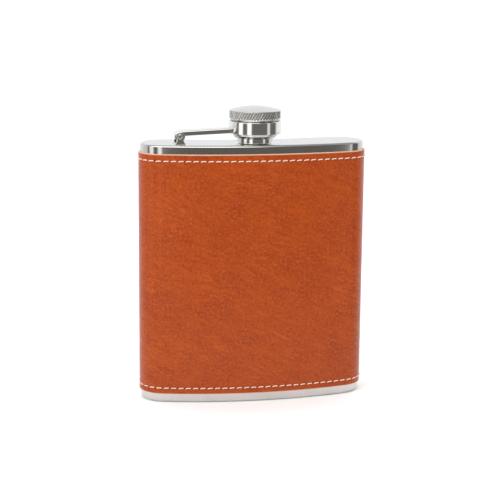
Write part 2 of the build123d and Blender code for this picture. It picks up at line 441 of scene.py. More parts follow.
class Finish:
    """A material under construction."""

    def __init__(self, name):
        self.material = bpy.data.materials.new(name)
        self.material.use_nodes = True
        self.tree = self.material.node_tree
        self.shader = self.tree.nodes["Principled BSDF"]

    def node(self, kind, settings, values, output=0):
        """Adds a node with its settings, then its inputs, and returns one of its outputs."""
        made = self.tree.nodes.new(kind)
        for name, setting in settings.items():
            setattr(made, name, setting)
        for name, value in values.items():
            self.put(made.inputs[name], value)
        return Value(self, made.outputs[output])

    def put(self, socket, value):
        if isinstance(value, Value):
            self.tree.links.new(value.socket, socket)
        elif socket.type == "RGBA":
            socket.default_value = (*value[:3], 1)
        else:
            socket.default_value = value

    def surface(self):
        """The piece's own UV map: metres along and across it."""
        return self.node("ShaderNodeUVMap", {"uv_map": "Surface"}, {})

    def space(self):
        return self.node("ShaderNodeTexCoord", {}, {}, "Object")

    def split(self, vector):
        made = self.tree.nodes.new("ShaderNodeSeparateXYZ")
        self.put(made.inputs[0], vector)
        return [Value(self, socket) for socket in made.outputs]

    def stretched(self, vector, scale, turn=0.0):
        """A vector turned about Z, then scaled, so that a pattern can be drawn out along a slanted line."""
        shrink = tuple(1 / factor for factor in scale)
        return self.node(
            "ShaderNodeMapping", {"vector_type": "TEXTURE"},
            {"Vector": vector, "Rotation": (0, 0, turn), "Scale": shrink})

    def noise(self, vector, size, detail=3.0, roughness=0.5, distortion=0.0):
        """Soft noise whose lumps are about one size across."""
        values = {"Vector": vector, "Scale": 1 / size, "Detail": detail}
        values |= {"Roughness": roughness, "Distortion": distortion}
        return self.node("ShaderNodeTexNoise", {}, values)

    def cells(self, vector, size, feature="F1"):
        """Uneven cells about one size across."""
        return self.node("ShaderNodeTexVoronoi", {"feature": feature}, {"Vector": vector, "Scale": 1 / size})

    def mix(self, share, first, second):
        """A colour between two."""
        return self.node("ShaderNodeMix", {"data_type": "RGBA"}, {0: share, 6: first, 7: second}, 2)

    def bump(self, height):
        """A normal from a height in metres."""
        return self.node("ShaderNodeBump", {}, {"Height": height, "Distance": 1.0, "Strength": 1.0})

    def needle_holes(self, place, look):
        """1 in the holes of both rows of stitches, fading to 0 at their rims."""
        along, up, _ = self.split(place)
        pitch = PERIMETER / look.stitches
        across = (0.5 - ((along / pitch).math("FRACT") - 0.5).math("ABSOLUTE")) * pitch
        nearest = 1.0
        for row in (TOP_ROW, BOTTOM_ROW):
            above = up - (row - look.stitch_rise / 2)
            reach = (across * across + above * above * 0.6) ** 0.5
            nearest = reach.math("MINIMUM", nearest)
        return nearest.step(0.32 * MM, 0.12 * MM)

    def finish(self, **values):
        """Sets the shader's own sockets. Words in a name are joined by underscores."""
        for name, value in values.items():
            self.put(self.shader.inputs[name.replace("_", " ")], value)
        return self.material


def tan_leather(look):
    """Smooth dyed leather: mottled colour, slanted streaks and pale wrinkles, a fine pebble grain broken by
    soft creases, paler cut edges, and painted shade in the needle holes."""
    f = Finish("tan_leather")
    place = f.surface()
    slant = 0.4
    patches = f.noise(place, 16 * MM, detail=4, roughness=0.6)
    drawn_out = f.stretched(place, (0.45, 1.3, 1.0), slant)
    streaks = f.noise(drawn_out, 3.2 * MM, detail=5, roughness=0.65, distortion=0.6)
    pores = f.cells(place, 0.55 * MM)
    grain = f.noise(place, 1.05 * MM, detail=4, roughness=0.7)
    creases = f.cells(f.stretched(place, (0.8, 1.25, 1.0), slant), 2.6 * MM, "DISTANCE_TO_EDGE")
    folds = f.noise(f.stretched(place, (0.28, 1.5, 1.0), slant), 4.5 * MM, detail=3, distortion=0.8)
    wrinkle = 1 - (folds - 0.5).math("ABSOLUTE").step(0.0, 0.035)
    crease = 1 - creases.step(0.0, 0.16)
    where = f.noise(place, 9 * MM, detail=2).step(0.42, 0.68)
    crease = crease * where
    wrinkle = wrinkle * f.noise(place, 30 * MM, detail=2).step(0.42, 0.62)
    mottle = (patches - 0.5) * 0.55 + (streaks - 0.5) * 1.1 + (grain - 0.5) * 2.6
    thinness = mottle + 0.5 - crease * 0.06 + wrinkle * 0.45
    dye = f.mix(thinness.clamped(), look.dark, look.light)
    cut = f.node("ShaderNodeAttribute", {"attribute_name": "mark"}, {}, "Fac")
    fibre = f.noise(place, 0.3 * MM, detail=2)
    base = f.mix((cut * (0.75 + fibre * 0.5)).clamped(), dye, look.cut)
    holes = f.needle_holes(place, look)
    # Painted shade: the needle holes are painted nearly black.
    painted_hole_shade = (0.06, 0.016, 0.007)
    base = f.mix(holes, base, painted_hole_shade)
    pebble = f.noise(place, 1.0 * MM, detail=2, roughness=0.5)
    height = (pores * 0.02 + pebble * 0.15 + streaks * 0.08 + wrinkle * 0.03 - crease * 0.01) * MM
    rough = 0.25 + (grain - 0.5) * 0.16 + cut * 0.4 - (patches - 0.5) * 0.12 + holes * 0.4
    return f.finish(Base_Color=base, Roughness=rough, Normal=f.bump(height), Specular_IOR_Level=0.26)


def waxed_thread(look):
    """Twisted thread: fine slanted strands, with painted shade where they meet and a random fuzz tone."""
    f = Finish("waxed_thread")
    place = f.surface()
    strands = f.node(
        "ShaderNodeTexWave", {"bands_direction": "DIAGONAL"},
        {"Vector": place, "Scale": 900.0, "Distortion": 0.8, "Detail": 1.0})
    fuzz = f.noise(place, 0.12 * MM, detail=3)
    # Painted shade: the colour darkens where the strands meet, mixed with a random fuzz tone.
    shade = tuple(channel * 0.72 for channel in look.thread)
    base = f.mix((strands * 0.55 + fuzz * 0.55).clamped(), shade, look.thread)
    relief = f.bump(strands * 0.03 * MM + fuzz * 0.02 * MM)
    return f.finish(Base_Color=base, Roughness=0.55, Normal=relief, Sheen_Weight=0.2)


def polished_steel(look):
    """Buffed stainless steel: nearly a mirror, with faint polishing haze and a gentle waviness."""
    f = Finish("polished_steel")
    place = f.space()
    haze = f.noise(place, 5 * MM, detail=4, roughness=0.6)
    hairlines = f.noise(f.stretched(place, (1.0, 1.0, 14.0)), 1.2 * MM, detail=3)
    waves = f.noise(place, 7 * MM, detail=1)
    grit = f.noise(place, 0.35 * MM, detail=2)
    _, _, height = f.split(place)
    sheet = height.step(BODY_TOP + 0.6 * MM, BODY_TOP + 0.2 * MM)
    rough = 0.05 + haze * 0.06 + (hairlines - 0.5) * 0.04 + sheet * 0.07
    relief = (waves * 0.010 + grit * 0.0012) * MM
    tint = tuple(channel * 0.93 for channel in look.polished)
    base = f.mix(haze.step(0.3, 0.7), look.polished, tint)
    return f.finish(Base_Color=base, Metallic=1.0, Roughness=rough, Normal=f.bump(relief))


def satin_steel(look):
    """Turned stainless steel: fine rings about the neck's axis over a soft haze, and painted shade, a darker
    base colour, in the knurl's grooves and under the head."""
    f = Finish("satin_steel")
    place = f.space()
    x, y, _ = f.split(place)
    y = y - NECK_Y
    radius = (x * x + y * y) ** 0.5
    rings = f.node(
        "ShaderNodeTexNoise", {"noise_dimensions": "1D"}, {"W": radius, "Scale": 9000.0, "Detail": 3.0})
    haze = f.noise(place, 3 * MM, detail=3)
    rough = 0.13 + haze * 0.10 + (rings - 0.5) * 0.10
    shade = tuple(channel * 0.86 for channel in look.satin)
    base = f.mix((rings * 0.6 + haze * 0.4).step(0.25, 0.75), shade, look.satin)
    # Painted shade: the base colour is darkened where the cap's marks lie, in the knurl's grooves and under
    # the head.
    groove = f.node("ShaderNodeAttribute", {"attribute_name": "mark"}, {}, "Fac").step(0.35, 0.75)
    painted_groove_shade = (0.30, 0.29, 0.27)
    base = f.mix(groove * 0.7, base, painted_groove_shade)
    return f.finish(Base_Color=base, Metallic=1.0, Roughness=rough, Normal=f.bump(rings * 0.0012 * MM))


def silicone():
    """Translucent white sealing rubber with a soft sheen."""
    f = Finish("silicone")
    place = f.space()
    cloud = f.noise(place, 2 * MM, detail=3)
    base = f.mix(cloud, (0.70, 0.70, 0.67), (0.86, 0.86, 0.83))
    relief = f.bump(cloud * 0.02 * MM)
    return f.finish(Base_Color=base, Roughness=0.45 + cloud * 0.15, Normal=relief, Specular_IOR_Level=0.4)


# ---------------------------------------------------------------- steel body

def wall_profile():
    """The body's wall: a thin upright rectangle of offset and height."""
    corners = [(-WALL, FLOOR_TOP), (0, FLOOR_TOP), (0, PLATE_UNDER), (-WALL, PLATE_UNDER)]
    return rounded(corners, [0, 0, 0, 0])


def top_plate_grid(columns=BODY_COLUMNS):
    """The lid: rings that go from the neck's hole out over the flat top, round the fillet, down the rim and
    back under to the hole. On the flat faces a ring is a mix of the hole's circle and the outline."""
    distance = np.linspace(0, PERIMETER, columns + 1)
    fillet = np.linspace(0, np.pi / 2, 9)
    inset = np.concatenate([[-TOP_EDGE * 1.05], TOP_EDGE * (np.sin(fillet) - 1), [0]])
    height = np.concatenate([[BODY_TOP], BODY_TOP - TOP_EDGE * (1 - np.cos(fillet)), [PLATE_UNDER]])
    x, y = kidney(distance[None, :], inset[:, None])
    rim = stack(x, y, height[:, None])
    rim[:, -1] = rim[:, 0]
    away = rim[0, :, :2] - np.array([0, NECK_Y])
    hole = away / np.linalg.norm(away, axis=1, keepdims=True) * NECK_RADIUS + np.array([0, NECK_Y])
    hole_top = stack(hole[:, 0], hole[:, 1], BODY_TOP)
    hole_under = stack(hole[:, 0], hole[:, 1], PLATE_UNDER)
    share = np.linspace(0, 1, 7)[1:-1, None, None]
    over = hole_top[None] + (rim[:1] - hole_top[None]) * share
    under = rim[-1:] + (hole_under[None] - rim[-1:]) * share
    rings = np.concatenate([hole_top[None], over, rim, under, hole_under[None], hole_top[None]])
    return rings, rings[..., :2]


def bottom_plate_grid(columns=BODY_COLUMNS):
    """The base: a fan over the flat underside, the fillet, the rim, and a fan over the inside."""
    distance = np.linspace(0, PERIMETER, columns + 1)
    fillet = np.linspace(0, np.pi / 2, 9)
    inset = np.concatenate([[-BOTTOM_EDGE * 1.05], BOTTOM_EDGE * (np.sin(fillet) - 1), [0]])
    height = np.concatenate([[0], BOTTOM_EDGE * (1 - np.cos(fillet)), [FLOOR_TOP]])
    x, y = kidney(distance[None, :], inset[:, None])
    rim = stack(x, y, height[:, None])
    rim[:, -1] = rim[:, 0]
    heart = np.array([0, NECK_Y, 0.0])
    share = np.linspace(0, 1, 5)[:-1, None, None]
    under = heart + (rim[:1] - heart) * share
    heart_top = heart + np.array([0, 0, FLOOR_TOP])
    over = rim[-1:] + (heart_top - rim[-1:]) * np.linspace(0, 1, 5)[1:, None, None]
    rings = np.concatenate([under, rim, over])
    return rings, rings[..., :2]


class HIPFLASK_OT_steel_body(Operator):
    """Build the body's wall, top plate and bottom plate"""
    bl_idname = "hipflask.steel_body"
    bl_label = "Steel body"

    def execute(self, context):
        steel = polished_steel(context.scene.flask_steel)
        build("steel_wall", [round_body(wall_profile())], steel, "flask_body", "body_shell")
        build("steel_top", [top_plate_grid()], steel, "flask_body", "top_plate")
        build("steel_base", [bottom_plate_grid()], steel, "flask_body", "bottom_plate")
        return {"FINISHED"}


# ---------------------------------------------------------------- neck

def helix_ridge(angle, height, pitch, start, end):
    """How much of a screw thread stands up at a point, from 0 to 1. The ridge is a raised cosine with a
    flattened crest, of height over pitch less angle over a full turn, and it fades in and out at its
    ends."""
    phase = height / pitch - angle / (2 * np.pi)
    wave = 0.5 + 0.5 * np.cos(2 * np.pi * phase)
    ridge = smooth_step(wave, 0.45, 0.9)
    fade_in = smooth_step(height, start, start + 0.5 * pitch)
    fade_out = 1 - smooth_step(height, end - 0.4 * pitch, end)
    return ridge * (fade_in * fade_out)


def neck_grid(pitch, depth, columns=144):
    """The neck: up the bore, over a rolled lip, down the threaded outside to a small weld bead."""
    bead = 0.3 * MM
    root = NECK_RADIUS - depth
    lip = 0.45 * MM
    low_corner = BODY_TOP + 3.0 * MM
    corners = [
        (NECK_BORE, NECK_UNDER), (NECK_BORE, NECK_TOP), (root, NECK_TOP), (root, low_corner),
        (NECK_RADIUS, low_corner - 0.4 * MM), (NECK_RADIUS, BODY_TOP + bead), (NECK_RADIUS + bead, BODY_TOP),
        (NECK_RADIUS + bead, NECK_UNDER)]
    profile = rounded(corners, [0, lip, lip, 0.2 * MM, 0.2 * MM, 0.25 * MM, 0, 0])
    profile = finer(profile, 0.12 * MM)
    angle = np.linspace(0, 2 * np.pi, columns + 1)
    outside = profile[:, 0, None] > (NECK_BORE + root) / 2
    thread_start = low_corner + 0.1 * MM
    thread_end = NECK_TOP - 0.5 * MM
    ridge = helix_ridge(angle[None, :], profile[:, 1, None], pitch, thread_start, thread_end)
    radius = profile[:, 0, None] + np.where(outside, ridge * depth, 0)
    points = turned(radius, profile[:, 1, None], angle[None, :])
    points[:, -1] = points[:, 0]
    return points, stack_uv(angle[None, :] * NECK_RADIUS, arc_length(profile)[:, None])


def finer(line, step):
    """The same line with points no further apart than a step, evenly spaced on each straight piece."""
    gaps = np.linalg.norm(np.diff(line, axis=0), axis=1)
    counts = np.maximum(np.ceil(gaps / step).astype(int), 1)
    piece = np.repeat(np.arange(len(gaps)), counts)
    order = np.arange(counts.sum()) - np.repeat(np.cumsum(counts) - counts, counts)
    share = (order / counts[piece])[:, None]
    points = line[piece] * (1 - share) + line[piece + 1] * share
    return np.concatenate([points, line[-1:]])


class HIPFLASK_OT_neck(Operator):
    """Build the threaded pouring neck"""
    bl_idname = "hipflask.neck"
    bl_label = "Neck"

    def execute(self, context):
        look = context.scene.flask_steel
        steel = bpy.data.materials["polished_steel"]
        grid = neck_grid(look.thread_pitch, look.thread_depth)
        build("threaded_neck", [grid], steel, "flask_body", "neck_spout")
        return {"FINISHED"}


# ---------------------------------------------------------------- hinge

def ear_outline(points=96):
    """A lug ear seen from the front: a round eye about the pin, a waist, and a foot that flares onto the
    plate."""
    foot = BODY_TOP - PIN_Z
    waist = foot + 1.7 * MM
    waist_half = 1.25 * MM
    ankle = foot + 0.45 * MM
    shoulder = 0.55 * MM
    corners = [
        (-LUG_FOOT_HALF, foot), (LUG_FOOT_HALF, foot), (LUG_FOOT_HALF * 0.9, ankle), (waist_half, waist),
        (EAR_RADIUS, shoulder), (EAR_RADIUS * 0.75, EAR_RADIUS), (-EAR_RADIUS * 0.75, EAR_RADIUS),
        (-EAR_RADIUS, shoulder), (-waist_half, waist), (-LUG_FOOT_HALF * 0.9, ankle)]
    radii = np.array([0.05, 0.05, 0.25, 0.9, 1.0, 1.2, 1.2, 1.0, 0.9, 0.25]) * MM
    line = rounded(corners, radii)
    travel = arc_length(line)
    even = np.linspace(0, travel[-1], points + 1)
    line = np.stack([np.interp(even, travel, line[:, 0]), np.interp(even, travel, line[:, 1])], axis=1)
    line[-1] = line[0]
    return line, outline_normals(line)


def upright(side):
    """Places an outline of X and Z about the pin with its depth along Y, at a side of the strap's
    middle."""
    def place(x, z, depth):
        return stack(PIN_X + x, NECK_Y + side + depth, PIN_Z + z)
    return place


def lug_grids():
    """Two ears and the foot plate that joins them."""
    ear_middle = EAR_OUTER - EAR_THICK / 2
    outline = ear_outline()
    grids = [coin(outline, EAR_THICK / 2, 0.15 * MM, upright(side * ear_middle)) for side in (-1, 1)]
    half_width = EAR_OUTER - 0.1 * MM
    corners = [
        (-LUG_FOOT_HALF, -half_width), (LUG_FOOT_HALF, -half_width),
        (LUG_FOOT_HALF, half_width), (-LUG_FOOT_HALF, half_width)]
    line = rounded(corners, [0.4 * MM] * 4)
    foot_half = 0.3 * MM

    def level(x, y, depth):
        return stack(PIN_X + x, NECK_Y + y, BODY_TOP + foot_half + depth)

    grids.append(coin((line, outline_normals(line)), foot_half, 0.12 * MM, level))
    return [(grid, grid[..., [0, 2]]) for grid in grids]


def pin_grid(columns=48):
    """The rivet: a profile of radius and depth turned about the pin's axis. Each end has a rolled rim
    round a dimple."""
    shank = 0.78 * MM
    head = PIN_HEAD_RADIUS
    end = PIN_END
    dimple = 0.5 * MM
    bottom = end - 0.5 * MM
    corners = [
        (0, bottom), (dimple, bottom), (dimple, end), (head, end), (head, EAR_OUTER),
        (shank, EAR_OUTER), (shank, -EAR_OUTER), (head, -EAR_OUTER), (head, -end),
        (dimple, -end), (dimple, -bottom), (0, -bottom)]
    radii = np.array([0, 0.1, 0.18, 0.25, 0.1, 0, 0, 0.1, 0.25, 0.18, 0.1, 0]) * MM
    profile = rounded(corners, radii, closed=False)
    angle = np.linspace(0, 2 * np.pi, columns + 1)
    radius = profile[:, 0, None]
    points = stack(
        PIN_X + radius * np.cos(angle), NECK_Y + profile[:, 1, None], PIN_Z + radius * np.sin(angle))
    points[:, -1] = points[:, 0]
    return points, stack_uv(angle[None, :] * head, arc_length(profile)[:, None])


class HIPFLASK_OT_hinge(Operator):
    """Build the hinge's lug and its rivet"""
    bl_idname = "hipflask.hinge"
    bl_label = "Hinge"

    def execute(self, context):
        steel = bpy.data.materials["polished_steel"]
        build("hinge_bracket", lug_grids(), steel, "flask_body", "hinge_lug")
        build("hinge_rivet", [pin_grid()], steel, "flask_body", "hinge_pin")
        return {"FINISHED"}


# ---------------------------------------------------------------- swing arm

def strap_grid():
    """The strap: a bar that leaves the top of a round knuckle on the pin and ends inside the collar's
    wall. At each X its section is a rounded rectangle between a lowest and a highest line: the knuckle's
    circle up to its far side, then the bar's two sloping faces."""
    end = abs(PIN_X) - COLLAR_RADIUS + 0.8 * MM
    swing = np.linspace(0, np.pi, 49)
    bar = np.linspace(KNUCKLE_RADIUS + 0.05 * MM, end, 24)
    along = np.concatenate([-KNUCKLE_RADIUS * np.cos(swing), bar])
    circle = np.sqrt(np.clip(KNUCKLE_RADIUS**2 - along**2, 0, None))
    rise = along * math.sin(STRAP_SLOPE)
    face = (KNUCKLE_RADIUS + rise) / math.cos(STRAP_SLOPE)
    back = (KNUCKLE_RADIUS - STRAP_THICK + rise) / math.cos(STRAP_SLOPE)
    top = np.where(along < -KNUCKLE_RADIUS * math.sin(STRAP_SLOPE), circle, face)
    bottom = np.where(along <= KNUCKLE_RADIUS, -circle, back)
    half = ((top - bottom) / 2)[:, None]
    centre = ((top + bottom) / 2)[:, None]
    corner = np.repeat(np.arange(4), 7)
    angle = corner * np.pi / 2 + np.tile(np.linspace(0, np.pi / 2, 7), 4)
    side = np.where((corner == 0) | (corner == 3), 1, -1)
    upper = np.where(corner < 2, 1, -1)
    top_edge = 0.55 * MM
    under_edge = 0.25 * MM
    radius = np.minimum(np.where(corner < 2, top_edge, under_edge)[None, :], half * 0.98)
    y = side * (STRAP_HALF_WIDTH - radius) + radius * np.cos(angle)
    z = centre + upper * (half - radius) + radius * np.sin(angle)
    rings = stack(PIN_X + along[:, None], NECK_Y + y, PIN_Z + z)
    rings = np.concatenate([rings, rings[:, :1]], axis=1)
    ends = rings[:, :-1].mean(axis=1, keepdims=True)
    first = np.broadcast_to(ends[:1], rings[:1].shape)
    last = np.broadcast_to(ends[-1:], rings[:1].shape)
    rings = np.concatenate([first, rings, last])
    return rings, rings[..., :2]


def collar_profile():
    """A short tube's wall, with soft edges."""
    corners = [
        (COLLAR_BORE, COLLAR_LOW), (COLLAR_RADIUS, COLLAR_LOW),
        (COLLAR_RADIUS, COLLAR_HIGH), (COLLAR_BORE, COLLAR_HIGH)]
    return rounded(corners, np.array([0.2, 0.35, 0.3, 0.2]) * MM, steps=8)


class HIPFLASK_OT_swing_arm(Operator):
    """Build the strap and the collar ring that carries the cap"""
    bl_idname = "hipflask.swing_arm"
    bl_label = "Swing arm"

    def execute(self, context):
        steel = bpy.data.materials["polished_steel"]
        build("strap", [strap_grid()], steel, "swing_arm", "cap_arm")
        build("collar", [lathe(collar_profile(), 256)], steel, "swing_arm", "collar_ring")
        return {"FINISHED"}


# ---------------------------------------------------------------- screw cap

def triangle_wave(phase):
    """From 0 at whole numbers up to 1 half way between them."""
    return 1 - np.abs(2 * (phase - np.floor(phase)) - 1)


def cap_head_grid(knurls, depth):
    """The head: a bore, a skirt, a chamfered underside, the knurled band and a low dome. In the band the
    radius is cut by two families of slanted grooves. Each is a triangle wave of angle plus or minus
    height times the slant, and the one that leans right is the deeper. The marks, which paint shade into
    the finish, are 1 at a groove's bottom and all over the underside."""
    dome_rise = HEAD_TOP - KNURL_HIGH
    dome_radius = (HEAD_RADIUS**2 + dome_rise**2) / (2 * dome_rise)
    shoulder = 0.45 * MM
    corners = [
        (0, HEAD_CEILING), (BUSH_RADIUS, HEAD_CEILING), (BUSH_RADIUS, SKIRT_LOW), (SKIRT_RADIUS, SKIRT_LOW),
        (SKIRT_RADIUS, HEAD_UNDER), (UNDERSIDE_RADIUS, HEAD_UNDER), (HEAD_RADIUS, KNURL_LOW)]
    below = rounded(corners, np.array([0, 0, 0, 0.1, 0.1, 0.15, 0]) * MM, closed=False, steps=4)
    band_height = np.linspace(KNURL_LOW, KNURL_HIGH - shoulder, 30)
    band = np.stack([np.full(30, HEAD_RADIUS), band_height], axis=1)[1:]
    turn = np.linspace(0, 1, 9)[1:, None]
    tilt = math.asin((HEAD_RADIUS - shoulder) / dome_radius)
    swing = turn * (np.pi / 2 - tilt)
    rim_radius = HEAD_RADIUS - shoulder * (1 - np.cos(swing))
    rim = np.concatenate([rim_radius, KNURL_HIGH - shoulder + shoulder * np.sin(swing)], axis=1)
    lean = tilt * np.linspace(1, 0, 15)[1:, None]
    height_drop = dome_radius * (np.cos(tilt) - np.cos(lean))
    dome = np.concatenate([dome_radius * np.sin(lean), rim[-1, 1] - height_drop], axis=1)
    scale = rim[-1, 0] / (dome_radius * math.sin(tilt))
    dome[:, 0] *= scale
    dome[:, 1] += (HEAD_TOP - dome[-1, 1]) * (1 - dome[:, 0] / rim[-1, 0])
    profile = np.concatenate([below, band, rim, dome])
    columns_each = 10
    columns = knurls * columns_each
    angle = np.linspace(0, 2 * np.pi, columns + 1)[None, :]
    height = profile[:, 1, None]
    slant = math.tan(KNURL_SLANT) / HEAD_RADIUS
    leaning = triangle_wave(knurls * (angle - slant * (height - KNURL_LOW)) / (2 * np.pi))
    crossing = triangle_wave(knurls * (angle + slant * (height - KNURL_LOW)) / (2 * np.pi))
    ridge = np.minimum(leaning, 0.65 + 0.35 * crossing)
    inside = smooth_step(height, KNURL_LOW - 0.05 * MM, KNURL_LOW + 0.25 * MM)
    inside = inside * (1 - smooth_step(height, KNURL_HIGH - 0.45 * MM, KNURL_HIGH - 0.05 * MM))
    inside = inside * (profile[:, 0, None] > SKIRT_RADIUS + 0.5 * MM)
    radius = profile[:, 0, None] - depth * (1 - ridge) * inside
    points = turned(radius, height, angle)
    points[:, -1] = points[:, 0]
    # Painted shade: the underside and the groove bottoms are marked so that the finish darkens them.
    underside = (height < KNURL_LOW - 0.1 * MM) * (profile[:, 0, None] > SKIRT_RADIUS + 0.05 * MM)
    marks = np.maximum((1 - ridge) * inside, underside)
    return points, stack_uv(angle * HEAD_RADIUS, arc_length(profile)[:, None]), marks


def bush_grid(pitch, depth, columns=144):
    """The threaded bush: a plain outside and a ridged bore."""
    wall = BUSH_RADIUS - 0.02 * MM
    root = CAP_BORE + depth * 0.7
    corners = [(root, SKIRT_LOW), (wall, SKIRT_LOW), (wall, HEAD_CEILING), (root, HEAD_CEILING)]
    profile = finer(rounded(corners, [0, 0, 0, 0]), 0.14 * MM)
    angle = np.linspace(0, 2 * np.pi, columns + 1)
    bore = profile[:, 0, None] < (wall + CAP_BORE) / 2 + depth * 0.3
    ridge = helix_ridge(angle[None, :], profile[:, 1, None], pitch, SKIRT_LOW, GASKET_LOW)
    radius = profile[:, 0, None] - np.where(bore, ridge * depth * 0.7, 0)
    points = turned(radius, profile[:, 1, None], angle[None, :])
    points[:, -1] = points[:, 0]
    return points, stack_uv(angle[None, :] * CAP_BORE, arc_length(profile)[:, None])


def retainer_profile():
    """A ring that flares from its foot to a narrow band at the top."""
    band_foot = (RETAINER_RADIUS - 0.15 * MM, RETAINER_HIGH - 0.55 * MM)
    corners = [
        (CAP_BORE, RETAINER_LOW), (RETAINER_FOOT_RADIUS, RETAINER_LOW), band_foot,
        (RETAINER_RADIUS, RETAINER_HIGH), (CAP_BORE, RETAINER_HIGH)]
    return rounded(corners, np.array([0.08, 0.12, 0.2, 0.06, 0.05]) * MM, steps=5)


def gasket_profile():
    """A disc with a shallow ring pressed into it where it meets the neck's lip."""
    rim = CAP_BORE - 0.03 * MM
    pressed = GASKET_LOW + 0.12 * MM
    corners = [
        (0, GASKET_LOW), (NECK_BORE - 0.3 * MM, GASKET_LOW), (NECK_BORE, pressed),
        (NECK_RADIUS - 0.4 * MM, pressed), (NECK_RADIUS, GASKET_LOW), (rim, GASKET_LOW),
        (rim, HEAD_CEILING), (0, HEAD_CEILING)]
    return rounded(corners, np.array([0, 0.2, 0.2, 0.2, 0.2, 0.15, 0, 0]) * MM, closed=False, steps=4)


class HIPFLASK_OT_screw_cap(Operator):
    """Build the knurled cap, its threaded bush, its retaining ring and its seal"""
    bl_idname = "hipflask.screw_cap"
    bl_label = "Screw cap"

    def execute(self, context):
        look = context.scene.flask_steel
        steel = bpy.data.materials["polished_steel"]
        satin = satin_steel(look)
        rubber = silicone()
        head, head_uv, grooves = cap_head_grid(look.knurls, look.knurl_depth)
        bush = bush_grid(look.thread_pitch, look.thread_depth)
        build("knurled_head", [(head, head_uv)], satin, "screw_cap", "cap_head", [grooves])
        build("threaded_bush", [bush], satin, "screw_cap", "cap_thread_insert")
        ring = lathe(retainer_profile(), 192)
        disc = lathe(gasket_profile(), 96)
        build("retaining_ring", [ring], steel, "screw_cap", "retainer_ring")
        build("seal", [disc], rubber, "screw_cap", "cap_gasket")
        return {"FINISHED"}


# ---------------------------------------------------------------- leather

def row_pull(distance, height, row, look):
    """How far the leather is drawn in near a row of stitches: a soft groove along the row, and a dip at
    each hole. Both are bell curves."""
    pitch = PERIMETER / look.stitches
    groove = np.exp(-((height - row) / (0.55 * MM))**2)
    to_hole = (0.5 - np.abs(np.mod(distance / pitch, 1) - 0.5)) * pitch
    drop = look.stitch_rise / 2
    hole = np.exp(-(to_hole / (0.38 * MM))**2 - ((height - row + drop) / (0.34 * MM))**2)
    return look.groove * groove + 0.3 * MM * hole


def leather_grid(look, columns=560):
    """The wrap: a closed profile carried round the body from one lip of the back seam to the other. The
    outer face swells and sinks a little, dips along the stitch rows, and rolls over to the steel at the
    edges and the seam. Its marks are 1 along the cut edges."""
    near = np.linspace(-1.4, 1.4, 17) * MM
    outer_radius = 0.32 * MM
    glue = 0.02 * MM
    corners = [
        (glue, LEATHER_LOW), (LEATHER_THICK, LEATHER_LOW),
        (LEATHER_THICK, LEATHER_HIGH), (glue, LEATHER_HIGH)]
    edges = rounded(corners, np.array([0, outer_radius, outer_radius, 0]), steps=5)
    face = np.linspace(LEATHER_LOW + 0.6 * MM, LEATHER_HIGH - 0.6 * MM, 34)
    sides = np.concatenate([face, TOP_ROW + near, BOTTOM_ROW + near])
    sides = np.unique(np.round(sides, 7))
    on_face = np.stack([np.full(len(sides), LEATHER_THICK), sides], axis=1)
    turn = np.argmax(edges[:, 1] > (LEATHER_LOW + LEATHER_HIGH) / 2)
    outer = np.concatenate([edges[:turn], on_face, edges[turn:-1]])
    inner = outer[::-1] * (0, 1) + (glue, 0)
    profile = np.concatenate([outer, inner])
    start = SEAM_GAP / 2
    distance = np.linspace(start, PERIMETER - start, columns + 1)
    extra = start + np.array([0.05, 0.12, 0.22]) * MM
    distance = np.unique(np.concatenate([distance, extra, PERIMETER - extra]))
    to_seam = np.minimum(distance - start, PERIMETER - start - distance)
    lip = 0.45 * MM
    rolled = np.sqrt(np.clip(1 - (1 - np.minimum(to_seam, lip) / lip)**2, 0, 1))[None, :]
    height = profile[:, 1, None]
    sideways = np.sin(distance * 310 + 3 * np.sin(height * 140))
    swell = 0.035 * MM * sideways * np.sin(height * 260 + 2 * np.sin(distance * 90))
    outside = smooth_step(profile[:, 0, None], 0.3 * LEATHER_THICK, 0.9 * LEATHER_THICK)
    from_edge = np.minimum(height - LEATHER_LOW, LEATHER_HIGH - height)
    inland = smooth_step(from_edge, 0, 3 * MM)
    pull = sum(row_pull(distance[None, :], height, row, look) for row in (TOP_ROW, BOTTOM_ROW))
    seam_pull = 0.18 * MM * np.exp(-((to_seam - 1.9 * MM) / (0.6 * MM))**2)[None, :] * inland
    offset = profile[:, 0, None] + outside * (swell * inland - 0.04 * MM * inland - pull - seam_pull)
    offset = np.minimum(offset, LEATHER_THICK) * rolled
    x, y = kidney(distance[None, :], offset)
    cut = 1 - smooth_step(from_edge, 0.05 * MM, 0.42 * MM)
    cut = np.maximum(np.broadcast_to(cut, x.shape), 1 - smooth_step(to_seam, 0.05 * MM, 0.35 * MM)[None, :])
    return stack(x, y, height), stack_uv(distance[None, :], height), cut


class HIPFLASK_OT_leather(Operator):
    """Build the leather wrap"""
    bl_idname = "hipflask.leather"
    bl_label = "Leather wrap"

    def execute(self, context):
        look = context.scene.flask_leather
        points, uv, cut = leather_grid(look)
        finish = tan_leather(look)
        grids = [(points, uv)]
        wrap = build("leather_cover", grids, finish, "flask_body", "leather_wrap", [cut])
        around = PERIMETER - SEAM_GAP
        return {"FINISHED"}


# ---------------------------------------------------------------- stitching

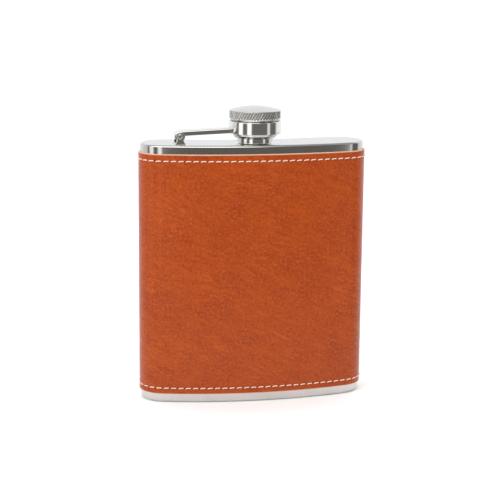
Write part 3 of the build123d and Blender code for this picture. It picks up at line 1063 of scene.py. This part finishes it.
def thread_tubes(start, end, look, sides=9, rings=13, lift=0.0, drop=0.0, dive=0.5 * MM):
    """Short lengths of thread lying on the leather, one for each row of start and end, which are distance
    and height. A tube's middle runs straight from start to end and hooks down by drop near its end. Its
    offset falls with the sixth power of the way from its middle, and two plies make its radius swell
    twice round, twisting along it."""
    along = np.linspace(-1, 1, rings)[None, :, None]
    round_it = np.linspace(0, 2 * np.pi, sides + 1)[None, None, :]
    run = end - start
    span = np.linalg.norm(run, axis=1)[:, None, None]
    across = np.stack([-run[:, 1], run[:, 0]], axis=1) / np.linalg.norm(run, axis=1, keepdims=True)
    radius = look.thread_radius * np.sqrt(np.clip(1 - along**8, 0, 1))
    radius = radius * (1 + 0.13 * np.cos(2 * round_it + span * along / (0.32 * MM)))
    side = radius * np.sin(round_it)
    crown = LEATHER_THICK + THREAD_PROUD - 1.13 * look.thread_radius + lift
    offset = crown - dive * along**6 + radius * np.cos(round_it)
    middle_s = (start[:, 0] + end[:, 0])[:, None, None] / 2
    middle_z = (start[:, 1] + end[:, 1])[:, None, None] / 2
    distance = middle_s + run[:, 0, None, None] / 2 * along + across[:, 0, None, None] * side
    height = middle_z + run[:, 1, None, None] / 2 * along + across[:, 1, None, None] * side
    height = height - drop * smooth_step(along, 0.2, 1.1)
    x, y = kidney(distance, offset)
    uv = stack(along * span / 2, round_it * look.thread_radius, radius * 0)[..., :2]
    points = stack(x, y, height)
    points[:, :, -1] = points[:, :, 0]
    return points, uv


def row_of_stitches(row, look):
    """Evenly spaced stitches round the body. Each lies between two holes and drops to one of them."""
    pitch = PERIMETER / look.stitches
    middles = (np.arange(look.stitches) + 0.5) * pitch
    half = look.stitch_length / 2
    level = np.full(look.stitches, row + 0.06 * MM)
    start = np.stack([middles - half, level], axis=1)
    end = np.stack([middles + half, level], axis=1)
    return thread_tubes(start, end, look, drop=look.stitch_rise)


def seam_lacing(look):
    """Two families of slanted threads that cross over the back seam."""
    reach = 1.9 * MM
    count = int((SEAM_HIGH - SEAM_LOW) / look.lace_pitch)
    heights = SEAM_LOW + (np.arange(count) + 0.1) * (SEAM_HIGH - SEAM_LOW) / count
    left = np.full(count, -reach)
    right = np.full(count, reach)
    upper = heights + look.lace_pitch * 0.75
    rising = (np.stack([left, heights], 1), np.stack([right, upper], 1))
    falling = (np.stack([left, upper], 1), np.stack([right, heights], 1))
    under = thread_tubes(*rising, look, rings=15)
    over = thread_tubes(*falling, look, rings=15, lift=0.12 * MM)
    return [under, over]


class HIPFLASK_OT_stitching(Operator):
    """Sew the two rows round the body and lace the back seam"""
    bl_idname = "hipflask.stitching"
    bl_label = "Stitching"

    def execute(self, context):
        look = context.scene.flask_leather
        thread = waxed_thread(look)
        upper = row_of_stitches(TOP_ROW, look)
        lower = row_of_stitches(BOTTOM_ROW, look)
        build("stitches_upper", [upper], thread, "flask_body", "top_stitching")
        build("stitches_lower", [lower], thread, "flask_body", "bottom_stitching")
        build("seam_lacing", seam_lacing(look), thread, "flask_body", "back_seam_stitching")
        return {"FINISHED"}


# ---------------------------------------------------------------- studio

def room_finish(look):
    """What shiny things reflect. A direction from the cap gives an azimuth, measured from the camera's
    azimuth setting and positive to the right, and an elevation. Dark and bright panels are windows of the
    two, with listed edges. The rest is pale wall and grey ceiling."""
    f = Finish("room")
    x, y, z = f.split(f.space())
    across = x * math.cos(look.azimuth) + y * math.sin(look.azimuth)
    toward = x * math.sin(look.azimuth) - y * math.cos(look.azimuth)
    azimuth = across.math("ARCTAN2", toward) * (180 / math.pi)
    elevation = (z - COLLAR_LOW).math("ARCTAN2", (x * x + y * y) ** 0.5) * (180 / math.pi)

    def window(angle, start, end, soft):
        return angle.step(start - soft, start + soft) * angle.step(end + soft, end - soft)

    behind = 1 - window(azimuth, -112, 112, 6)
    low_down = (elevation - behind * 26).step(32, 20)
    far = ((x * x + y * y) ** 0.5).step(0.09, 0.30)
    dark = window(azimuth, -14, 55, 1.5)
    for start, end in ((-53, -33), (-84, -73), (68, 101)):
        dark = dark.math("MAXIMUM", window(azimuth, start, end, 1.5))
    bright = window(azimuth, -33, -14, 1.5) + window(azimuth, -73, -53, 1.5)
    colour = f.mix(bright, (0.84, 0.83, 0.815), (1.30, 1.28, 1.25))
    colour = f.mix(behind, colour, (1.01, 1.03, 1.06))
    colour = f.mix(far, (1.12, 1.11, 1.09), colour)
    colour = f.mix(dark * far, colour, (0.160, 0.147, 0.135))
    colour = f.mix(low_down, (0.42, 0.42, 0.42), colour)
    soft_box = window(azimuth, -80, 27, 8) * window(elevation, 27, 74, 6)
    colour = f.mix(soft_box, colour, (2.1, 2.08, 2.03))
    return f.finish(
        Base_Color=(0, 0, 0), Roughness=1.0, Specular_IOR_Level=0.0,
        Emission_Color=colour, Emission_Strength=1.0)


def add_room(look):
    """A round room whose floor starts just clear of the flask. Only glossy reflections see it."""
    wall = 1.6
    profile = np.array([(0.07, 0.5 * MM), (wall, 0.5 * MM), (wall, wall), (0, wall)])
    angle = np.linspace(0, 2 * np.pi, 73)
    points = turned(profile[:, 0, None], profile[:, 1, None], angle[None, :])
    rows, columns = points.shape[:2]
    index = np.arange(rows * columns).reshape(rows, columns)
    faces = np.stack([index[:-1, :-1], index[:-1, 1:], index[1:, 1:], index[1:, :-1]], axis=-1).reshape(-1, 4)
    mesh = bpy.data.meshes.new("room")
    mesh.from_pydata(points.reshape(-1, 3).tolist(), [], faces.tolist())
    mesh.materials.append(room_finish(look))
    room = bpy.data.objects.new("room", mesh)
    bpy.context.scene.collection.objects.link(room)
    room.visible_camera = False
    room.visible_diffuse = False
    room.visible_shadow = False


def add_light(name, place, target, size, power):
    light = bpy.data.lights.new(name, "AREA")
    light.shape = "RECTANGLE"
    light.size, light.size_y = size
    light.energy = power
    holder = bpy.data.objects.new(name, light)
    holder.location = place
    holder.rotation_euler = (Vector(place) - Vector(target)).to_track_quat("Z", "Y").to_euler()
    holder.visible_glossy = False
    bpy.context.scene.collection.objects.link(holder)


def add_camera(look):
    """Looks at a point a little above the flask's middle, from the front left and above."""
    lens = bpy.data.cameras.new("camera")
    lens.sensor_width = 36.0
    lens.lens = look.focal
    lens.clip_end = 100.0
    holder = bpy.data.objects.new("camera", lens)
    aim = Vector((-1.52 * MM, NECK_Y + 0.29 * MM, 63.46 * MM))
    level = math.cos(look.elevation)
    back = Vector((
        math.sin(look.azimuth) * level, -math.cos(look.azimuth) * level, math.sin(look.elevation)))
    turn = back.to_track_quat("Z", "Y").to_matrix().to_4x4() @ Matrix.Rotation(look.roll, 4, "Z")
    holder.matrix_world = Matrix.Translation(aim + back * look.distance) @ turn
    bpy.context.scene.collection.objects.link(holder)
    bpy.context.scene.camera = holder


class HIPFLASK_OT_studio(Operator):
    """Set the floor, the reflected room, the lights and the camera"""
    bl_idname = "hipflask.studio"
    bl_label = "Studio"

    def execute(self, context):
        look = context.scene.flask_studio
        matt = Finish("floor").finish(
            Base_Color=tuple(look.floor), Roughness=0.9, Specular_IOR_Level=0.0)
        mesh = bpy.data.meshes.new("floor")
        reach = 12.0
        corners = [(-reach, -reach, 0), (reach, -reach, 0), (reach, reach, 0), (-reach, reach, 0)]
        mesh.from_pydata(corners, [], [(0, 1, 2, 3)])
        mesh.materials.append(matt)
        floor = bpy.data.objects.new("floor", mesh)
        context.scene.collection.objects.link(floor)
        add_room(look)
        world = bpy.data.worlds.new("studio")
        world.use_nodes = True
        world.node_tree.nodes["Background"].inputs["Color"].default_value = (1, 1, 1, 1)
        world.node_tree.nodes["Background"].inputs["Strength"].default_value = look.sky
        context.scene.world = world
        heart = (0, NECK_Y, 0.06)
        add_light("key", (-0.26, -0.28, 0.36), heart, (0.24, 0.2), look.key)
        add_light("top", (0.1, 0.15, 1.1), heart, (0.9, 0.7), look.top)
        add_camera(look)
        context.scene.view_settings.view_transform = "Standard"
        return {"FINISHED"}


# ---------------------------------------------------------------- add-on

class HIPFLASK_PT_panel(Panel):
    """Lists the flask's builders"""
    bl_idname = "HIPFLASK_PT_panel"
    bl_label = "Hip flask"
    bl_space_type = "VIEW_3D"
    bl_region_type = "UI"
    bl_category = "Hip flask"

    def draw(self, context):
        for builder in BUILDERS:
            self.layout.operator(builder.bl_idname)
        for group in (context.scene.flask_leather, context.scene.flask_steel, context.scene.flask_studio):
            box = self.layout.box()
            for name in group.__annotations__:
                box.prop(group, name)


BUILDERS = (
    HIPFLASK_OT_steel_body,
    HIPFLASK_OT_neck,
    HIPFLASK_OT_hinge,
    HIPFLASK_OT_swing_arm,
    HIPFLASK_OT_screw_cap,
    HIPFLASK_OT_leather,
    HIPFLASK_OT_stitching,
    HIPFLASK_OT_studio,
)
SETTINGS = {"flask_leather": LeatherSettings, "flask_steel": SteelSettings, "flask_studio": StudioSettings}


def register():
    for group in (*SETTINGS.values(), *BUILDERS, HIPFLASK_PT_panel):
        bpy.utils.register_class(group)
    for name, group in SETTINGS.items():
        setattr(bpy.types.Scene, name, PointerProperty(type=group))


def unregister():
    for name in SETTINGS:
        delattr(bpy.types.Scene, name)
    for group in (HIPFLASK_PT_panel, *BUILDERS, *SETTINGS.values()):
        bpy.utils.unregister_class(group)


def main():
    register()
    bpy.ops.hipflask.steel_body()
    bpy.ops.hipflask.neck()
    bpy.ops.hipflask.hinge()
    bpy.ops.hipflask.swing_arm()
    bpy.ops.hipflask.screw_cap()
    bpy.ops.hipflask.leather()
    bpy.ops.hipflask.stitching()
    bpy.ops.hipflask.studio()


if __name__ == "__main__":
    main()
